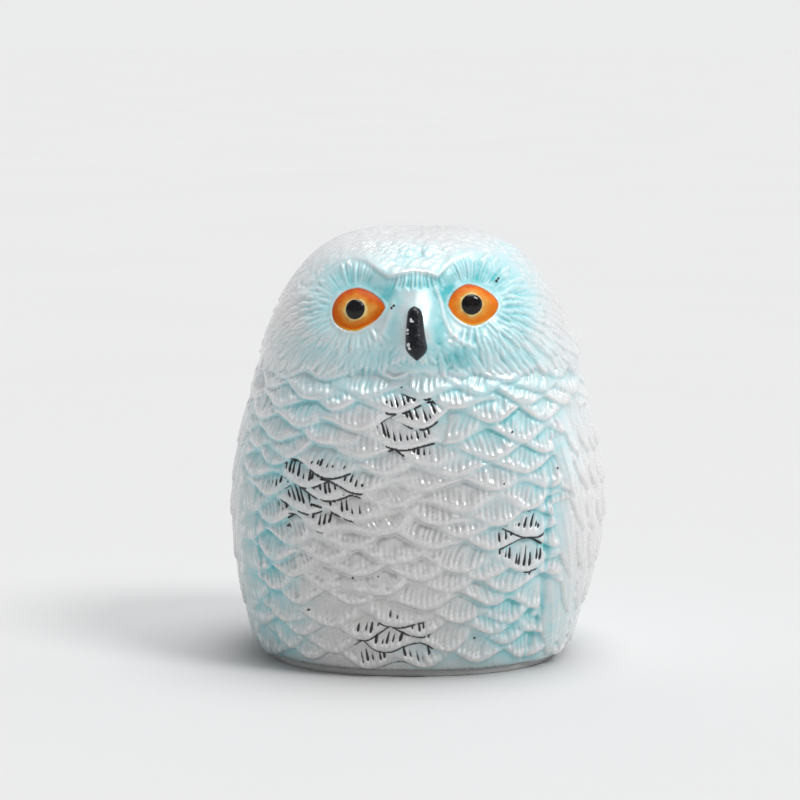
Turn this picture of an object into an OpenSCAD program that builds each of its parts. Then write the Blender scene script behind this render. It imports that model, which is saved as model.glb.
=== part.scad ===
// Owl figurine: a cast resin owl with a cored-out foot, inlaid eyes and beak, and a closed, felted base.
// Units are millimetres. +Z is up, the owl looks along -Y, and the origin is the middle of the felt's underside.
// Left and right are the owl's own, so its left side is at +X.

/* [Casting] */
// Height of the resin casting, foot to crown
casting_h = 97.5; // [82:0.5:118]
// Width across the breast
body_w = 84.5; // [74:0.5:102]
// Depth from breast to back
body_d = 76; // [66:0.5:92]
// Width of the foot
foot_w = 69.5; // [60:0.5:72]
// Depth of the foot
foot_d = 62.5; // [54:0.5:65]
// Height of the widest part, as a share of the casting's height
belly = 0.37; // [0.3:0.01:0.42]
// How far the body leans to the owl's left of its foot
lean = 1.2; // [-2:0.1:2]
// Thickness of the casting round its core
wall = 6; // [4.5:0.5:8]
// Height of the core's top, as a share of the casting's height
core_top = 0.6; // [0.45:0.01:0.64]

/* [Face] */
// Distance between the middles of the eyes
eye_pitch = 25.2; // [23:0.2:29]
// Height of the eyes above the foot, as a share of the casting's height
eye_level = 0.835; // [0.81:0.005:0.85]
// How much higher the left eye sits than the right
eye_tilt = 1.1; // [-2:0.1:2]
// Depth of the hollow that each eye lies in
socket_in = 1.6; // [0.5:0.1:2.4]
// How far the nose stands out between the eyes
nose_out = 3.2; // [1:0.1:4.5]
// How far the brow stands out above the eyes
brow_out = 1.6; // [0.5:0.1:2.5]

/* [Eyes] */
// Width of an eye
eye_w = 11.8; // [10:0.2:14]
// Height of an eye
eye_h = 9.6; // [8:0.2:11]
// How far an eye's dome stands out of its pocket
eye_dome = 1.5; // [0.8:0.1:2.2]
// Depth of the pocket that an eye is glued into
eye_seat = 2; // [1.4:0.1:3]
// Diameter of a pupil bead
pupil_d = 4.5; // [3.6:0.1:5.4]
// How far a pupil bead stands out of the eye
pupil_out = 0.8; // [0.4:0.1:1.2]
// How far the pupils are set towards the owl's right
gaze = 0.4; // [-1:0.1:1]

/* [Beak] */
// Length of the beak
beak_l = 12; // [9:0.2:13]
// Width of the beak at its lower end
beak_w = 4.9; // [4:0.1:6]
// Width of the beak at its upper end
beak_top_w = 3; // [2:0.1:3.8]
// How far the beak's axis lies under the nose
beak_sink = 0.7; // [0:0.1:1.2]

/* [Base] */
// Thickness of the plate that closes the core
plate_t = 3; // [2:0.5:5]
// Width of the casting's rim round the plate
rim = 3; // [2:0.5:4]
// Width of the ledge that the plate is glued to
ledge = 3; // [2:0.5:5]
// Diameter of the plate's vent hole
vent_d = 6; // [4:0.5:10]
// Thickness of the felt
felt_t = 1.5; // [1:0.1:3]
// How far the felt's edge is set in from the foot's
felt_inset = 1.5; // [1:0.5:3]

/* [Wings] */
// Angle from the breastbone to the front edge of each wing, right and left
wing_edge = [61, 47]; // [40:1:75]
// How far a folded wing stands out
wing_out = 1.2; // [0.4:0.1:2]
// How far the tail stands out at the foot
tail_out = 2.4; // [0.5:0.1:4]

/* [Hidden] */
glue_gap = 0.1;          // clearance round every glued-in piece
sides = 72;              // points round each ring of the casting
foot_rings = 8;          // rings from the foot to the belly
crown_rings = 30;        // rings from the belly to the crown
core_rings = 10;         // rings of the core
front_crowd = 28;        // how far the points are crowded towards the face, in degrees
square_n = 2.3;             // squareness of the plan outline
foot_curve = 1.8;           // how sharply the sides draw in below the belly
side_curve = [1.57, 3.35];  // exponents of the upper outline seen from the front
front_curve = [2.6, 2.9];   // exponents of the breast and face seen from the side
back_curve = [1.9, 2.3];    // exponents of the back seen from the side
neck_in = 0.015;            // how far the neck draws in, as a share of the width
neck_level = 0.66;
face_x = 0.5;               // the face's middle stands this far to the owl's left of the foot's
eye_yaw = 11;               // each eye turns this far outwards
eye_up = 12;                // and this far upwards
eye_roll = 3;               // each eye's inner corner is turned up this far
eye_z = felt_t + casting_h * eye_level;
beak_z = eye_z - 0.41 * beak_l;  // middle of the beak
beak_lean = 14;             // the beak's axis leans back this far
fine = 96;

// ---- outline ---------------------------------------------------------------

function bell(t) = exp(-t * t);
function ramp(t) = let (c = min(max(t, 0), 1)) c * c * (3 - 2 * c);

// Share of the full girth at height share s, closing at the crown along a superellipse.
function girth(s, foot, curve) = s < belly
    ? 1 - (1 - foot) * pow((belly - s) / belly, foot_curve)
    : pow(max(0, 1 - pow((s - belly) / (1 - belly), curve[0])), 1 / curve[1]);

function half_width(s) = body_w / 2
    * (girth(s, foot_w / body_w, side_curve) - neck_in * bell((s - neck_level) / 0.07));
function half_depth(s, front) = body_d / 2
    * girth(s, foot_d / body_d, front ? front_curve : back_curve);
function lean_at(s) = lean * ramp(s / belly);

// Point on a plan outline of half axes a, front and back in the direction q, where -90 is the front.
function plan_point(a, front, back, q) =
    let (across = pow(abs(cos(q)) / a, square_n),
         along = pow(abs(sin(q)) / (sin(q) < 0 ? front : back), square_n),
         r = 1 / pow(across + along, 1 / square_n))
    [r * cos(q), r * sin(q)];

// ---- relief ----------------------------------------------------------------

// How far the face stands out towards -Y at x and z: nose, eye hollows, brow and chin.
function face_relief(x, z) =
    let (across = x - face_x, up = z - eye_z - eye_tilt * across / eye_pitch)
    nose_out * bell(across / 5.2) * bell((up + 4) / 9)
    - socket_in * bell((abs(across) - eye_pitch / 2) / 7) * bell(up / 7)
    + brow_out * bell(across / 19) * bell((up - 7 - 0.2 * abs(across)) / 2.6)
    - 1.8 * bell(across / 26) * bell((up + 14) / 4);

// How far the folded wings and the tail stand out at the angle q and the height share s.
function wing_relief(q, s) =
    let (side = cos(q) < 0 ? 0 : 1,
         from_front = acos(max(-1, min(1, -sin(q)))))
    wing_out * ramp((from_front - wing_edge[side]) / 8) * ramp((0.62 - s) / 0.35)
    + tail_out * bell((180 - from_front) / 24) * ramp((0.3 - s) / 0.3);

// One point of the casting's skin.
function skin_point(s, q) =
    let (z = felt_t + casting_h * s,
         p = plan_point(half_width(s), half_depth(s, true), half_depth(s, false), q),
         x = p[0] + lean_at(s),
         out = wing_relief(q, s),
         face = sin(q) < 0 ? face_relief(x, z) * ramp(-2 * sin(q)) * ramp((1 - s) / 0.04) : 0)
    [x + out * cos(q), p[1] + out * sin(q) - face, z];

// Where the face's skin lies at x and z, measured along Y.
function face_y(x, z) =
    let (s = (z - felt_t) / casting_h,
         across = min(1, abs(x - lean_at(s)) / half_width(s)),
         y = half_depth(s, true) * pow(1 - pow(across, square_n), 1 / square_n))
    -y - face_relief(x, z);

// ---- casting ---------------------------------------------------------------

// Directions of the points of a ring, closest together at the face.
function angle_at(j) = let (a = 360 * j / sides) a - front_crowd * cos(a);

skin_levels = [for (i = [0:foot_rings - 1]) belly * i / foot_rings,
               for (i = [0:crown_rings - 1]) belly
                   + (1 - belly) * pow(sin(90 * i / crown_rings), 2 / side_curve[0])];
skin_rings = [for (s = skin_levels) [for (j = [0:sides - 1]) skin_point(s, angle_at(j))]];

// A flat outline of the foot drawn in by inset, at the height z.
function foot_outline(inset) = [for (j = [0:sides - 1])
    plan_point(foot_w / 2 - inset, foot_d / 2 - inset, foot_d / 2 - inset, angle_at(j))];
function at_height(outline, z) = [for (p = outline) [p[0], p[1], z]];

core_h = casting_h * core_top - plate_t;
mouth = rim + ledge;

// A ring of the core at the share t of its height: the skin's shape drawn in by the wall, under a round roof.
function core_ring(t) =
    let (s = (plate_t + core_h * t) / casting_h,
         swell = min(1, 0.35 + 2 * t),
         close = sqrt(max(0, 1 - pow(t, 4))),
         w = (foot_w / 2 - mouth) * (1 - swell) + (half_width(s) - wall) * swell,
         d = (foot_d / 2 - mouth) * (1 - swell) + (half_depth(s, true) - wall) * swell)
    [for (j = [0:sides - 1]) let (p = plan_point(w * close, d * close, d * close, angle_at(j)))
        [p[0] + lean_at(s) * swell, p[1], felt_t + plate_t + core_h * t]];

core_walls = [for (i = [core_rings - 1:-1:1]) core_ring(sin(90 * i / core_rings))];
base_rings = [at_height(foot_outline(mouth), felt_t + plate_t),
              at_height(foot_outline(rim), felt_t + plate_t),
              at_height(foot_outline(rim), felt_t)];

// One closed surface: crown, skin down to the foot, in across the rim, and up round the core to its roof.
module cup(crown, outer, inner, roof) {
    rings = concat([for (i = [len(outer) - 1:-1:0]) outer[i]], [for (i = [len(inner) - 1:-1:0]) inner[i]]);
    last = len(rings) - 1;
    points = concat([for (r = rings) for (p = r) p], [crown, roof]);
    top = len(rings) * sides;
    function at(i, j) = i * sides + j % sides;
    faces = concat(
        [for (j = [0:sides - 1]) [top, at(0, j + 1), at(0, j)]],
        [for (i = [0:last - 1]) for (j = [0:sides - 1]) each
            [[at(i, j), at(i, j + 1), at(i + 1, j)], [at(i, j + 1), at(i + 1, j + 1), at(i + 1, j)]]],
        [for (j = [0:sides - 1]) [top + 1, at(last, j), at(last, j + 1)]]);
    polyhedron(points, faces, convexity = 8);
}

module body_casting() {
    color("#e9eeee") difference() {
        cup(crown = [lean, 0, felt_t + casting_h], outer = skin_rings,
            inner = concat(core_walls, base_rings),
            roof = [lean, 0, felt_t + plate_t + core_h]);
        for (side = [-1, 1]) on_eye(side) eye_prism(side, glue_gap);
        beak_form(glue_gap);
    }
}

// ---- eyes ------------------------------------------------------------------

// Places its children on an eye: the origin lies on the skin and +Z looks out of the face.
module on_eye(side) {
    x = face_x + side * eye_pitch / 2;
    z = eye_z + side * eye_tilt / 2;
    translate([x, face_y(x, z), z])
        rotate([0, 0, side * eye_yaw]) rotate([90 - eye_up, 0, 0]) children();
}

// The almond: a rounded outer end and a corner towards the nose, between an upper and a lower arc.
module almond(side, grow) {
    long = eye_w / 2 + 0.5;
    bulge = (pow(long, 2) - pow(eye_h / 2, 2)) / eye_h;
    rotate(-side * eye_roll) intersection() {
        translate([0, bulge]) circle(r = bulge + eye_h / 2 + grow, $fn = fine);
        translate([0, -bulge]) circle(r = bulge + eye_h / 2 + grow, $fn = fine);
        translate([-side, 0]) circle(r = eye_w / 2 + 0.9 + grow, $fn = fine);
    }
}

// The pocket is as deep as the seat and open outwards; the eye itself is the same prism under a dome.
module eye_prism(side, grow) {
    translate([0, 0, -eye_seat]) linear_extrude(eye_seat + 6) almond(side, grow);
}

// The bead's place on the dome: its recess is one pupil_out deep.
module on_pupil() {
    translate([-gaze, 0, eye_dome - pupil_out]) children();
}

module eye(side) {
    rise = eye_dome + 0.6;
    dome_r = (pow(eye_w / 2, 2) + pow(rise, 2)) / (2 * rise);
    color("#e27a1e") on_eye(side) difference() {
        intersection() {
            eye_prism(side, 0);
            translate([0, 0, eye_dome - dome_r]) sphere(dome_r, $fn = fine);
        }
        on_pupil() cylinder(d = pupil_d + 2 * glue_gap, h = 3, $fn = fine);
    }
}

// A black half bead on a short shank.
module pupil(side) {
    bead_r = (pow(pupil_d / 2, 2) + pow(pupil_out, 2)) / (2 * pupil_out);
    color("#161415") on_eye(side) on_pupil() intersection() {
        cylinder(d = pupil_d, h = 3, $fn = fine);
        translate([0, 0, 2 * pupil_out - bead_r]) sphere(bead_r, $fn = fine);
    }
}

// ---- beak ------------------------------------------------------------------

// A tapered peg with round ends, half sunk in the nose, its axis leaning back with the face.
module beak_form(grow) {
    low_r = beak_w / 2;
    high_r = beak_top_w / 2;
    run = beak_l - low_r - high_r;
    slope = asin((low_r - high_r) / run);
    translate([face_x, face_y(face_x, beak_z) + beak_sink, beak_z]) rotate([-beak_lean, 0, 0])
        translate([0, 0, low_r - beak_l / 2]) {
            sphere(low_r + grow, $fn = fine);
            translate([0, 0, (low_r + grow) * sin(slope)])
                cylinder(r1 = (low_r + grow) * cos(slope), r2 = (high_r + grow) * cos(slope),
                         h = run - (low_r - high_r) * sin(slope), $fn = fine);
            translate([0, 0, run]) sphere(high_r + grow, $fn = fine);
        }
}

module beak() {
    color("#17191c") beak_form(0);
}

// ---- base ------------------------------------------------------------------

module base_plate() {
    color("#d9d6cf") translate([0, 0, felt_t]) difference() {
        linear_extrude(plate_t) polygon(foot_outline(rim + glue_gap));
        translate([0, 0, -1]) cylinder(d = vent_d, h = plate_t + 2, $fn = fine);
    }
}

module felt_pad() {
    color("#5d6f74") linear_extrude(felt_t) polygon(foot_outline(felt_inset));
}

body_casting();
base_plate();
felt_pad();
eye(-1);  // right_eye
eye(1);  // left_eye
pupil(-1);  // right_pupil
pupil(1);  // left_pupil
beak();
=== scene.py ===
# %% [markdown]
# # An owl ornament in cast resin
# The owl is one resin casting with glued-in eyes, pupils and beak, a plate that closes its cored foot, and
# a felt underneath. The CAD part holds its form and sizes. This script carves the feathers into that form,
# makes the small glued pieces, and paints everything the way such ornaments are painted: pearl lacquer, a
# turquoise airbrush, and a few touches of dark grey by brush.

import math
from functools import partial

import bpy
import numpy as np
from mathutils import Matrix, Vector


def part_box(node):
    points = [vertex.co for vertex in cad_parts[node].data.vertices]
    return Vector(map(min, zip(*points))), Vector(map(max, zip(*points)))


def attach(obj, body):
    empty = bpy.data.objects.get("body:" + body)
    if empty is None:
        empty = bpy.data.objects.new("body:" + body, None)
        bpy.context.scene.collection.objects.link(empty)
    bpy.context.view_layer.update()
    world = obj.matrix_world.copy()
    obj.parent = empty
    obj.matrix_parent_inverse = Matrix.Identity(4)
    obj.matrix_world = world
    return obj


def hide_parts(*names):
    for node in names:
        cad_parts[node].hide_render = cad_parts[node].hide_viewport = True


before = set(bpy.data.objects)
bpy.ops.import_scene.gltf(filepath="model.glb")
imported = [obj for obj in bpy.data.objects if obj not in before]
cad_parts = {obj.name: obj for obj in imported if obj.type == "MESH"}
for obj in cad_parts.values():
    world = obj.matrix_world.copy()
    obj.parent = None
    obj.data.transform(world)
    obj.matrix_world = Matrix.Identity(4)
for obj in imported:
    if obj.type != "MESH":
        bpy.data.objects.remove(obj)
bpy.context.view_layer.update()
MM = 0.001

# %% [markdown]
# ## The casting's form
# The bare form is a round-shouldered egg on a flat foot, leaning a little to one side. It follows the same
# curves as the CAD casting, so that the carved skin lies on the CAD one. Overall sizes are measured from
# the frame, and the curve values are the CAD part's own. A formula is used and not the CAD mesh, because
# carving needs a much finer and smoother net of points than a CAD mesh has.

# %% Sizes of the casting
casting_high = np.array(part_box("body_casting")[1]) / MM
felt_low, felt_high = (np.array(corner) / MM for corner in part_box("felt_pad"))
felt_t = felt_high[2]
felt_inset = 1.5
casting_h = casting_high[2] - felt_t
foot_w = felt_high[0] - felt_low[0] + 2 * felt_inset
foot_d = felt_high[1] - felt_low[1] + 2 * felt_inset
body_w = 84.5
body_d = 76.0
belly = 0.37
lean = 1.2
square_n = 2.3
foot_curve = 1.8
side_curve = (1.57, 3.35)
front_curve = (2.6, 2.9)
back_curve = (1.9, 2.3)
neck_in, neck_level = 0.015, 0.66
wing_edge = (61, 47)
wing_out, tail_out = 1.2, 2.4
print(f"casting {casting_h:.1f} mm tall on a foot of {foot_w:.1f} x {foot_d:.1f} mm")

# %% Places on the face
face_x = 0.5
eye_pitch, eye_level, eye_tilt = 25.2, 0.835, 1.1
eye_yaw, eye_up = math.radians(11), math.radians(12)
socket_in, nose_out, brow_out = 1.6, 3.2, 1.6
eye_z = felt_t + casting_h * eye_level


def bell(t):
    return np.exp(-t * t)


def ramp(t):
    c = np.clip(t, 0, 1)
    return c * c * (3 - 2 * c)


# %% The outline's curves
def girth(s, foot, curve):
    """Share of the full girth at the height share s."""
    low = 1 - (1 - foot) * np.clip((belly - s) / belly, 0, 1) ** foot_curve
    high = np.clip(1 - np.clip((s - belly) / (1 - belly), 0, 1) ** curve[0], 0, 1) ** (1 / curve[1])
    return np.where(s < belly, low, high)


def half_width(s):
    return body_w / 2 * (girth(s, foot_w / body_w, side_curve) - neck_in * bell((s - neck_level) / 0.07))


def half_depth(s, front):
    return body_d / 2 * girth(s, foot_d / body_d, front_curve if front else back_curve)


def face_relief(x, z):
    """How far the face stands out: nose, eye hollows, brow and chin."""
    across = x - face_x
    up = z - eye_z - eye_tilt * across / eye_pitch
    return (nose_out * bell(across / 5.2) * bell((up + 4) / 9)
            - socket_in * bell((np.abs(across) - eye_pitch / 2) / 7) * bell(up / 7)
            + brow_out * bell(across / 19) * bell((up - 7 - 0.2 * np.abs(across)) / 2.6)
            - 1.8 * bell(across / 26) * bell((up + 14) / 4))


def wing_relief(turn, s):
    """How far the folded wings and the tail stand out, at turn degrees round from the front."""
    edge = np.where(turn < 0, wing_edge[0], wing_edge[1])
    round_from_front = np.abs(turn)
    return (wing_out * ramp((round_from_front - edge) / 8) * ramp((0.62 - s) / 0.35)
            + tail_out * bell((180 - round_from_front) / 24) * ramp((0.3 - s) / 0.3))


def skin_at(s, turn):
    """Points of the bare form. s is the height share, turn the degrees from the front to the left wing."""
    s, turn = np.broadcast_arrays(np.asarray(s, float), np.asarray(turn, float))
    q = np.radians(turn - 90)
    wide = np.maximum(half_width(s), 1e-4)
    deep = np.maximum(np.where(np.sin(q) < 0, half_depth(s, True), half_depth(s, False)), 1e-4)
    r = ((np.abs(np.cos(q)) / wide) ** square_n + (np.abs(np.sin(q)) / deep) ** square_n) ** (-1 / square_n)
    x = r * np.cos(q) + lean * ramp(s / belly)
    z = felt_t + casting_h * s
    out = wing_relief(turn, s)
    face = np.where(np.sin(q) < 0, face_relief(x, z) * ramp(-2 * np.sin(q)) * ramp((1 - s) / 0.04), 0)
    return np.stack([x + out * np.cos(q), (r + out) * np.sin(q) - face, z], -1)


def face_y(x, z):
    """Where the bare face lies at x and z."""
    s = (z - felt_t) / casting_h
    across = np.clip(np.abs(x - lean) / half_width(s), 0, 1)
    return -half_depth(s, True) * (1 - across ** square_n) ** (1 / square_n) - face_relief(x, z)


# %% [markdown]
# ## The net of points
# A sculptor works fine detail where it is looked at. The net has about five points to the millimetre on the
# breast and the face and fewer on the back. Rows run up from the foot to the crown, columns run round from
# the back, and the spacing is even along the surface, so that a groove is equally sharp everywhere.

# %% Lay the net over the form
front_gap, back_gap = ((0.2, 0.34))


def even_steps(points, gap):
    """Places along a polyline, as fractional indices, about gap apart. gap has a value for each point."""
    length = np.linalg.norm(np.diff(points, axis=0), axis=1)
    travelled = np.concatenate([[0], np.cumsum(length / ((gap[1:] + gap[:-1]) / 2))])
    count = int(round(travelled[-1]))
    return np.interp(np.linspace(0, travelled[-1], count + 1), travelled, np.arange(len(points)))


turn_samples = np.linspace(-180, 180, 2881)
ring_gap = front_gap + (back_gap - front_gap) * ramp((np.abs(turn_samples) - 70) / 30)
turns = np.interp(even_steps(skin_at(0.45, turn_samples), ring_gap), np.arange(2881), turn_samples)[:-1]
rise_samples = 1 - (1 - np.linspace(0, 1, 4001)) ** 2
rise_line = (skin_at(rise_samples, 25) + skin_at(rise_samples, -70)) / 2
levels = np.interp(even_steps(rise_line, np.full(4001, front_gap * 1.05)), np.arange(4001), rise_samples)[:-1]
ROWS, COLUMNS = len(levels), len(turns)
net = skin_at(levels[:, None], turns[None, :])
print(f"net of {ROWS} rows by {COLUMNS} columns, {ROWS * COLUMNS} points")

# %% Which way is out, at every point
along = np.roll(net, -1, axis=1) - np.roll(net, 1, axis=1)
upward = np.gradient(net, axis=0)
outward = np.cross(along, upward)
outward /= np.linalg.norm(outward, axis=2, keepdims=True)
skin = net.reshape(-1, 3)
out = outward.reshape(-1, 3)
turn_of = np.tile(turns, ROWS)
row_z = net[:, 0, 2]
x_all, z_all = skin[:, 0], skin[:, 2]
height_share = (z_all - felt_t) / casting_h
front = skin[:, 1] < 0
cad_x = [corner.co.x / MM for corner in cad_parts["body_casting"].data.vertices]
print(f"the CAD casting reaches x {min(cad_x):.1f} to {max(cad_x):.1f} mm,",
      f"the net {x_all.min():.1f} to {x_all.max():.1f}")

# %% [markdown]
# ## Carving tools
# The carving is held as one height per point, outwards from the bare form, plus masks that remember where a
# tool has been: `seam` along the feathers' outlines, `cut` in the barb strokes, one on raised lines for white
# dry brush and painted highlight, and `band` just below each feather. The masks are for the paint, because an
# airbrush settles in hollows, a dry brush catches the edges and painted highlights sit on the raised lines.
# Feathers are laid like roof tiles, from the foot up, and each covers what lies under it.

# %% The carving's layers
relief = np.full(len(skin), -0.5)
seam = np.zeros(len(skin))
cut = np.zeros(len(skin))
# white dry brush and painted highlight on raised lines, lips and barb ends
rim = np.zeros(len(skin))
band = np.zeros(len(skin))
chance = np.random.default_rng(11)


def near(at, reach):
    """Indices of the points within reach of a place."""
    low, high = np.searchsorted(row_z, [at[2] - reach, at[2] + reach])
    block = skin[low * COLUMNS:high * COLUMNS]
    found = ((block - at) ** 2).sum(1) < reach * reach
    return np.flatnonzero(found) + low * COLUMNS


def place_on(s, turn):
    """A place on the form, with the directions across it, up it and out of it."""
    at = skin_at(s, turn)
    across = skin_at(s, turn + 0.5) - skin_at(s, turn - 0.5)
    up = skin_at(min(s + 0.004, 1), turn) - skin_at(s - 0.004, turn)
    across = across / np.linalg.norm(across)
    normal = np.cross(across, up)
    normal /= np.linalg.norm(normal)
    return at, across, np.cross(normal, across), normal


def flat_view(at, tip_way, normal, reach):
    """Points near a place, with u across and v back from the tip. tip_way points to where the tip is."""
    back = -(tip_way - normal * np.dot(tip_way, normal))
    back = back / np.linalg.norm(back)
    side = np.cross(back, normal)
    index = near(at, reach)
    offset = skin[index] - at
    return index, offset @ side, offset @ back


# %% A feather with barbs
def lay_scallop(at, tip_way, normal, wide, tall, lip=1.3, barb_gap=1.25, barb_cut=0.75, slant=0.0,
                crisp=1.0, level=0.3, swell=0.3):
    """One overlapping feather, its tip at a place. tall is half the height that shows of it."""
    flare = 0.6 * wide
    deep_u = tall * chance.uniform(0.78, 1.05)
    crisp = crisp * chance.uniform(0.5, 1.1)
    index, u, v = flat_view(at, tip_way, normal, 0.66 * wide + 2.6 * tall)
    skew = chance.uniform(-0.1, 0.1)
    along_edge = np.pi * np.clip(u / flare, -1, 1)
    edge = deep_u * (1 - np.cos(along_edge)) / 2 + skew * u
    steep = deep_u * np.pi / (2 * flare) * np.sin(along_edge)
    inward = (v - edge) / np.sqrt(1 + steep ** 2)
    reach = (np.abs(u) < flare * 1.02) & (v < 3.2 * tall)
    under = reach & (inward > 0)
    beside = reach & (inward <= 0) & (inward > -2.2)

    back = v - 0.6 * edge
    height = level - 0.15 * back - 0.34 * crisp * np.clip(1 - inward / 0.75, 0, 1) ** 2
    weak = chance.choice([-1, 1]) * u / flare
    keep = 1 - chance.uniform(0.2, 0.8) * ramp((weak - 0.05) / 0.6)
    height += swell * crisp * bell((inward - 1.9) / 1.8)
    height -= 0.3 * ramp((np.abs(u) / flare - 0.62) / 0.4)
    height += 0.1 * np.sin(u * 1.3 + chance.uniform(0, 6)) * np.sin(v * 0.9 + chance.uniform(0, 6))

    count = int(wide / barb_gap) + 4
    shift = chance.uniform(0, 1)
    place = (u + slant * v + 0.05 * v * v * chance.uniform(-1, 1)) / barb_gap + shift
    step = np.floor(place).astype(int)
    pick = np.clip(step + count, 0, 2 * count)
    wander = chance.uniform(-0.25, 0.25, 2 * count + 1)[pick]
    stop = lip + chance.uniform(-0.55, 0.5, 2 * count + 1)[pick]
    long = chance.uniform(2.4, 4.6, 2 * count + 1)[pick] * (0.6 + 0.13 * tall)
    weight = chance.uniform(0.45, 1.15, 2 * count + 1)[pick]
    off = (place - step - 0.5 - wander) * barb_gap
    down = v - edge - stop
    stroke = bell(off / 0.3) * ramp(down / 1.15) * (0.3 + 0.7 * np.exp(-np.clip(down - 1.1, 0, 9) / 1.1))
    stroke *= ramp((long + 1.2 - down) / 1.2) * ramp((0.43 * wide - np.abs(u)) / 1.2) * weight
    height -= barb_cut * stroke

    # painted highlight: white at the lower end of each barb stroke, where the light catches
    barb_end_highlight = bell(off / 0.4) * bell(down - 0.5) * (0.3 + weight)
    barb_end_highlight *= ramp((0.45 * wide - np.abs(u)) / 1.2)
    blend = (keep + (1 - keep) * ramp(inward / 2.5))[under]
    relief[index[under]] = blend * height[under] + (1 - blend) * relief[index[under]]
    cut[index[under]] = stroke[under]
    seam[index[under]] = 0
    rim[index[under]] = barb_end_highlight[under]
    line = bell((inward + 0.35) / 0.5) * keep
    relief[index[beside]] -= 0.15 * crisp * line[beside]
    seam[index[beside]] = np.maximum(seam[index[beside]], bell((inward[beside] + 0.1) / 0.3) * keep[beside])
    band[index[under]] = 0
    band[index[beside]] = np.maximum(band[index[beside]], np.exp(inward[beside] / 0.8))


# %% A long feather with a shaft
def lay_blade(at, tip_way, normal, wide, long, thick=0.9, level=0.4):
    """One narrow wing or tail feather, its tip at a place."""
    index, u, v = flat_view(at, tip_way, normal, long + wide)
    share = np.clip(v / long, 0, 1)
    half = wide / 2 * (1 - (1 - np.clip(share / 0.5, 0, 1)) ** 1.9)
    inward = half - np.abs(u)
    under = (v > 0) & (v < long) & (inward > 0)
    beside = (v > -0.4) & (v < long * 0.9) & (inward <= 0) & (inward > -0.6)
    height = level - thick * share ** 1.3 - 0.3 * np.clip(1 - inward / 0.7, 0, 1) ** 2
    height += 0.14 * bell(u / 0.28) * ramp((0.9 - share) / 0.2)
    tooth = (v - 1.5 * np.abs(u)) / 0.95 + chance.uniform(0, 1)
    stroke = bell((tooth - np.round(tooth)) / 0.24) * ramp((inward - 0.3) / 0.3)
    stroke *= ramp((np.abs(u) - 0.25) / 0.2)
    stroke *= chance.uniform(0.4, 1.0, 400)[np.clip(np.round(tooth).astype(int) + 100, 0, 399)]
    height -= 0.16 * stroke
    relief[index[under]] = height[under]
    cut[index[under]] = 0.5 * stroke[under]
    seam[index[under]] = 0
    # white along the blade's edges: dry brush and painted highlight
    rim[index[under]] = bell(inward[under] / 0.25) * ramp((0.85 - share[under]) / 0.2)
    relief[index[beside]] -= 0.2 * bell((inward[beside] + 0.16) / 0.2)
    seam[index[beside]] = np.maximum(seam[index[beside]], bell((inward[beside] + 0.1) / 0.3))


# %% [markdown]
# ## Breast, sides and nape
# The feathers run round the body in staggered rows, wider than they are tall, so that what shows of each
# one is an almond between two arcs. Every one has a smooth lip and a row of short barb strokes above it,
# pressed in with a tool: deepest at the lower end, where the light catches. Each gets its own small turn,
# size and stroke places, and one of its ends melts into the feather underneath, because they were modelled
# by hand.

# %% Lay the body's rows
around = 17
row_rise = 3.42
body_top = felt_t + casting_h * 0.9


def ring_turns(s, count, offset):
    """Turns in degrees that divide the ring at s into count equal lengths."""
    fine_turns = np.linspace(-180, 180, 721)
    ring = skin_at(s, fine_turns)
    travelled = np.concatenate([[0], np.cumsum(np.linalg.norm(np.diff(ring, axis=0), axis=1))])
    middle = np.interp(0, fine_turns, travelled)
    wanted = (middle + (np.arange(count) + offset) * travelled[-1] / count) % travelled[-1]
    return np.interp(wanted, travelled, fine_turns), travelled[-1] / count


feather_count = 0
row = 0
level_z = felt_t + 0.6
while level_z < body_top:
    share = (level_z - felt_t) / casting_h
    row_turns, pitch = ring_turns(share, around, 0.5 * (row % 2) + 0.12)
    for turn in row_turns:
        nudge = chance.normal(0, 1, 4)
        rise = 0.55 * nudge[0] + 0.8 * math.sin(turn / 19 + row * 0.37)
        s_here = np.clip(share + rise / casting_h, 0.004, 0.95)
        turn_here = turn + 1.6 * nudge[1]
        at, across, up, normal = place_on(s_here, turn_here)
        tip_way = -up + across * 0.09 * nudge[2]
        side_on = ramp((abs(turn) - 50) / 40)
        lay_scallop(at, tip_way, normal, pitch * (1.03 + 0.07 * nudge[3]), row_rise * (1 + 0.06 * nudge[2]),
                    slant=-0.25 * math.sin(math.radians(turn)) + 0.06 * nudge[0],
                    barb_gap=1.3 - 0.15 * side_on, crisp=1 - 0.35 * ramp((22 - level_z) / 20))
        feather_count += 1
    row += 1
    level_z += row_rise * (1 + 0.12 * math.sin(row * 1.7))
print(f"{row} rows, {feather_count} feathers")

# %% [markdown]
# ## Folded wings, back and tail
# Behind the groove on each side lies a folded wing. Its feathers are long and pointed, with a shaft down
# the middle, and they turn backwards as they go down. The tail goes on first, so that the wings lie over
# it. On the owl's right the wing's front edge is left almost smooth. The back is kept simple, with plain
# leaves in rows, as such castings have it.

# %% Lay the wings
def wing_tip(turn, low):
    """A wing feather's tip turns towards the tail as it goes down."""
    return math.copysign(min(abs(turn) + 5 * (1 - low), 180), turn)


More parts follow.
